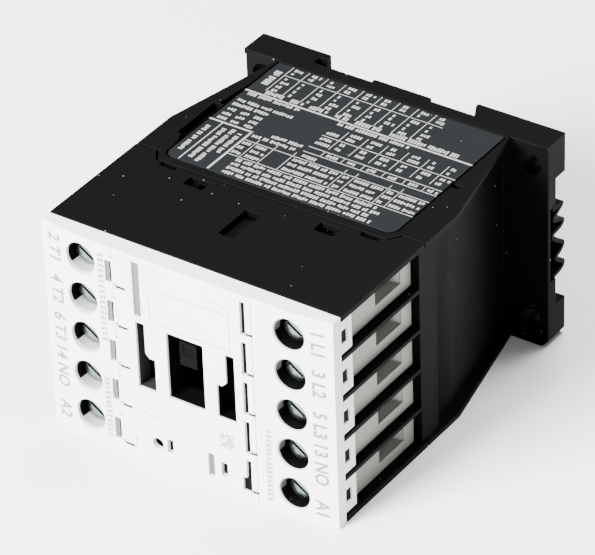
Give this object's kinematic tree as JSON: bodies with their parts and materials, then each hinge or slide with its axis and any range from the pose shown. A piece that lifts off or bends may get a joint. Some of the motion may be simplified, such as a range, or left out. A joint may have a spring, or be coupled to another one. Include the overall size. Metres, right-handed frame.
{
  "type": "industrial control relay",
  "caption": "Compact contactor for a 35 mm rail: light grey front cover, black housing, screw terminals on both sides, moving contact carrier worked by a coil.",
  "frame": {"origin": "middle of the footprint, on the surface the contactor lies on (its coil-terminal side)", "axes": "+X towards the line-side terminals, -Y out of the front face, +Y towards the rail side, +Z towards the label side"},
  "size_m": [0.0678, 0.075, 0.045],
  "materials": {
    "front_cover": "fine satin moulded surface, light grey",
    "contact_housing": "fine matte moulded surface, black",
    "base_housing": "fine matte moulded surface, black",
    "rating_label": "dark blue-grey printed film",
    "wire_guide": "satin grey plastic",
    "terminal_screw": "zinc-plated",
    "clamp_plate": "zinc-plated",
    "fixed_contact": "stamped brass with a silver tip",
    "coil_terminal": "stamped brass",
    "contact_bridge": "copper alloy with silver tips",
    "contact_spring": "bright spring wire",
    "contact_carrier": "black moulding",
    "armature": "ground lamination stack",
    "magnet_core": "ground lamination stack",
    "core_damper": "soft black rubber",
    "coil_bobbin": "brown heat-resistant plastic",
    "coil_winding": "enamelled copper wire",
    "return_spring": "bright spring wire",
    "rail_spring": "black springy plastic"
  },
  "bodies": {
    "housing": {"front_cover": "front_cover", "contact_housing": "contact_housing", "base_housing": "base_housing", "rating_label": "rating_label", "wire_guide_l1": "wire_guide", "wire_guide_t1": "wire_guide", "wire_guide_l2": "wire_guide", "wire_guide_t2": "wire_guide", "wire_guide_l3": "wire_guide", "wire_guide_t3": "wire_guide", "wire_guide_13": "wire_guide", "wire_guide_14": "wire_guide", "wire_guide_a1": "wire_guide", "wire_guide_a2": "wire_guide", "fixed_contact_l1": "fixed_contact", "fixed_contact_t1": "fixed_contact", "fixed_contact_l2": "fixed_contact", "fixed_contact_t2": "fixed_contact", "fixed_contact_l3": "fixed_contact", "fixed_contact_t3": "fixed_contact", "fixed_contact_13": "fixed_contact", "fixed_contact_14": "fixed_contact", "coil_terminal_a1": "coil_terminal", "coil_terminal_a2": "coil_terminal", "magnet_core": "magnet_core", "core_damper": "core_damper", "coil_bobbin": "coil_bobbin", "coil_winding": "coil_winding", "return_spring": "return_spring", "clamp_plate_l1": "clamp_plate", "clamp_plate_t1": "clamp_plate", "clamp_plate_l2": "clamp_plate", "clamp_plate_t2": "clamp_plate", "clamp_plate_l3": "clamp_plate", "clamp_plate_t3": "clamp_plate", "clamp_plate_13": "clamp_plate", "clamp_plate_14": "clamp_plate", "clamp_plate_a1": "clamp_plate", "clamp_plate_a2": "clamp_plate"},
    "carrier": {"contact_carrier": "contact_carrier", "armature": "armature", "contact_spring_1": "contact_spring", "contact_spring_2": "contact_spring", "contact_spring_3": "contact_spring", "contact_spring_4": "contact_spring"},
    "rail_pusher": {"rail_spring": "rail_spring"},
    "bridge_1": {"contact_bridge_1": "contact_bridge"},
    "bridge_2": {"contact_bridge_2": "contact_bridge"},
    "bridge_3": {"contact_bridge_3": "contact_bridge"},
    "bridge_4": {"contact_bridge_4": "contact_bridge"},
    "screw_l1": {"terminal_screw_l1": "terminal_screw"},
    "screw_t1": {"terminal_screw_t1": "terminal_screw"},
    "screw_l2": {"terminal_screw_l2": "terminal_screw"},
    "screw_t2": {"terminal_screw_t2": "terminal_screw"},
    "screw_l3": {"terminal_screw_l3": "terminal_screw"},
    "screw_t3": {"terminal_screw_t3": "terminal_screw"},
    "screw_13": {"terminal_screw_13": "terminal_screw"},
    "screw_14": {"terminal_screw_14": "terminal_screw"},
    "screw_a1": {"terminal_screw_a1": "terminal_screw"},
    "screw_a2": {"terminal_screw_a2": "terminal_screw"}
  },
  "joints": [
    {"name": "carrier_slide", "type": "slide", "parent": "housing", "child": "carrier", "axis": [0, 1, 0], "range_m": [0, 0.004], "stiffness_N_per_m": 700, "springref_m": -0.005, "deforming": ["return_spring"]},
    {"name": "bridge_1_slide", "type": "slide", "parent": "carrier", "child": "bridge_1", "axis": [0, 1, 0], "range_m": [-0.0015, 0], "deforming": ["contact_spring_1"]},
    {"name": "bridge_2_slide", "type": "slide", "parent": "carrier", "child": "bridge_2", "axis": [0, 1, 0], "range_m": [-0.0015, 0], "deforming": ["contact_spring_2"]},
    {"name": "bridge_3_slide", "type": "slide", "parent": "carrier", "child": "bridge_3", "axis": [0, 1, 0], "range_m": [-0.0015, 0], "deforming": ["contact_spring_3"]},
    {"name": "bridge_4_slide", "type": "slide", "parent": "carrier", "child": "bridge_4", "axis": [0, 1, 0], "range_m": [-0.0015, 0], "deforming": ["contact_spring_4"]},
    {"name": "screw_l1_turn", "type": "hinge", "parent": "housing", "child": "screw_l1", "pos_m": [0.0227, -0.0351, 0.0399], "axis": [0, 1, 0], "range_deg": [0, 1800]},
    {"name": "screw_t1_turn", "type": "hinge", "parent": "housing", "child": "screw_t1", "pos_m": [-0.0227, -0.0351, 0.0399], "axis": [0, 1, 0], "range_deg": [0, 1800]},
    {"name": "screw_l2_turn", "type": "hinge", "parent": "housing", "child": "screw_l2", "pos_m": [0.0227, -0.0351, 0.0312], "axis": [0, 1, 0], "range_deg": [0, 1800]},
    {"name": "screw_t2_turn", "type": "hinge", "parent": "housing", "child": "screw_t2", "pos_m": [-0.0227, -0.0351, 0.0312], "axis": [0, 1, 0], "range_deg": [0, 1800]},
    {"name": "screw_l3_turn", "type": "hinge", "parent": "housing", "child": "screw_l3", "pos_m": [0.0227, -0.0351, 0.0225], "axis": [0, 1, 0], "range_deg": [0, 1800]},
    {"name": "screw_t3_turn", "type": "hinge", "parent": "housing", "child": "screw_t3", "pos_m": [-0.0227, -0.0351, 0.0225], "axis": [0, 1, 0], "range_deg": [0, 1800]},
    {"name": "screw_13_turn", "type": "hinge", "parent": "housing", "child": "screw_13", "pos_m": [0.0227, -0.0351, 0.0138], "axis": [0, 1, 0], "range_deg": [0, 1800]},
    {"name": "screw_14_turn", "type": "hinge", "parent": "housing", "child": "screw_14", "pos_m": [-0.0227, -0.0351, 0.0138], "axis": [0, 1, 0], "range_deg": [0, 1800]},
    {"name": "screw_a1_turn", "type": "hinge", "parent": "housing", "child": "screw_a1", "pos_m": [0.0227, -0.0351, 0.0051], "axis": [0, 1, 0], "range_deg": [0, 1800]},
    {"name": "screw_a2_turn", "type": "hinge", "parent": "housing", "child": "screw_a2", "pos_m": [-0.0227, -0.0351, 0.0051], "axis": [0, 1, 0], "range_deg": [0, 1800]},
    {"name": "rail_spring_slide", "type": "slide", "parent": "housing", "child": "rail_pusher", "axis": [1, 0, 0], "range_m": [0, 0.0012], "stiffness_N_per_m": 6000, "springref_m": -0.0002}
  ],
  "couplings": [
    {"joint": "bridge_1_slide", "follows": "carrier_slide", "ratio": -0.375},
    {"joint": "bridge_2_slide", "follows": "carrier_slide", "ratio": -0.375},
    {"joint": "bridge_3_slide", "follows": "carrier_slide", "ratio": -0.375},
    {"joint": "bridge_4_slide", "follows": "carrier_slide", "ratio": -0.375}
  ]
}
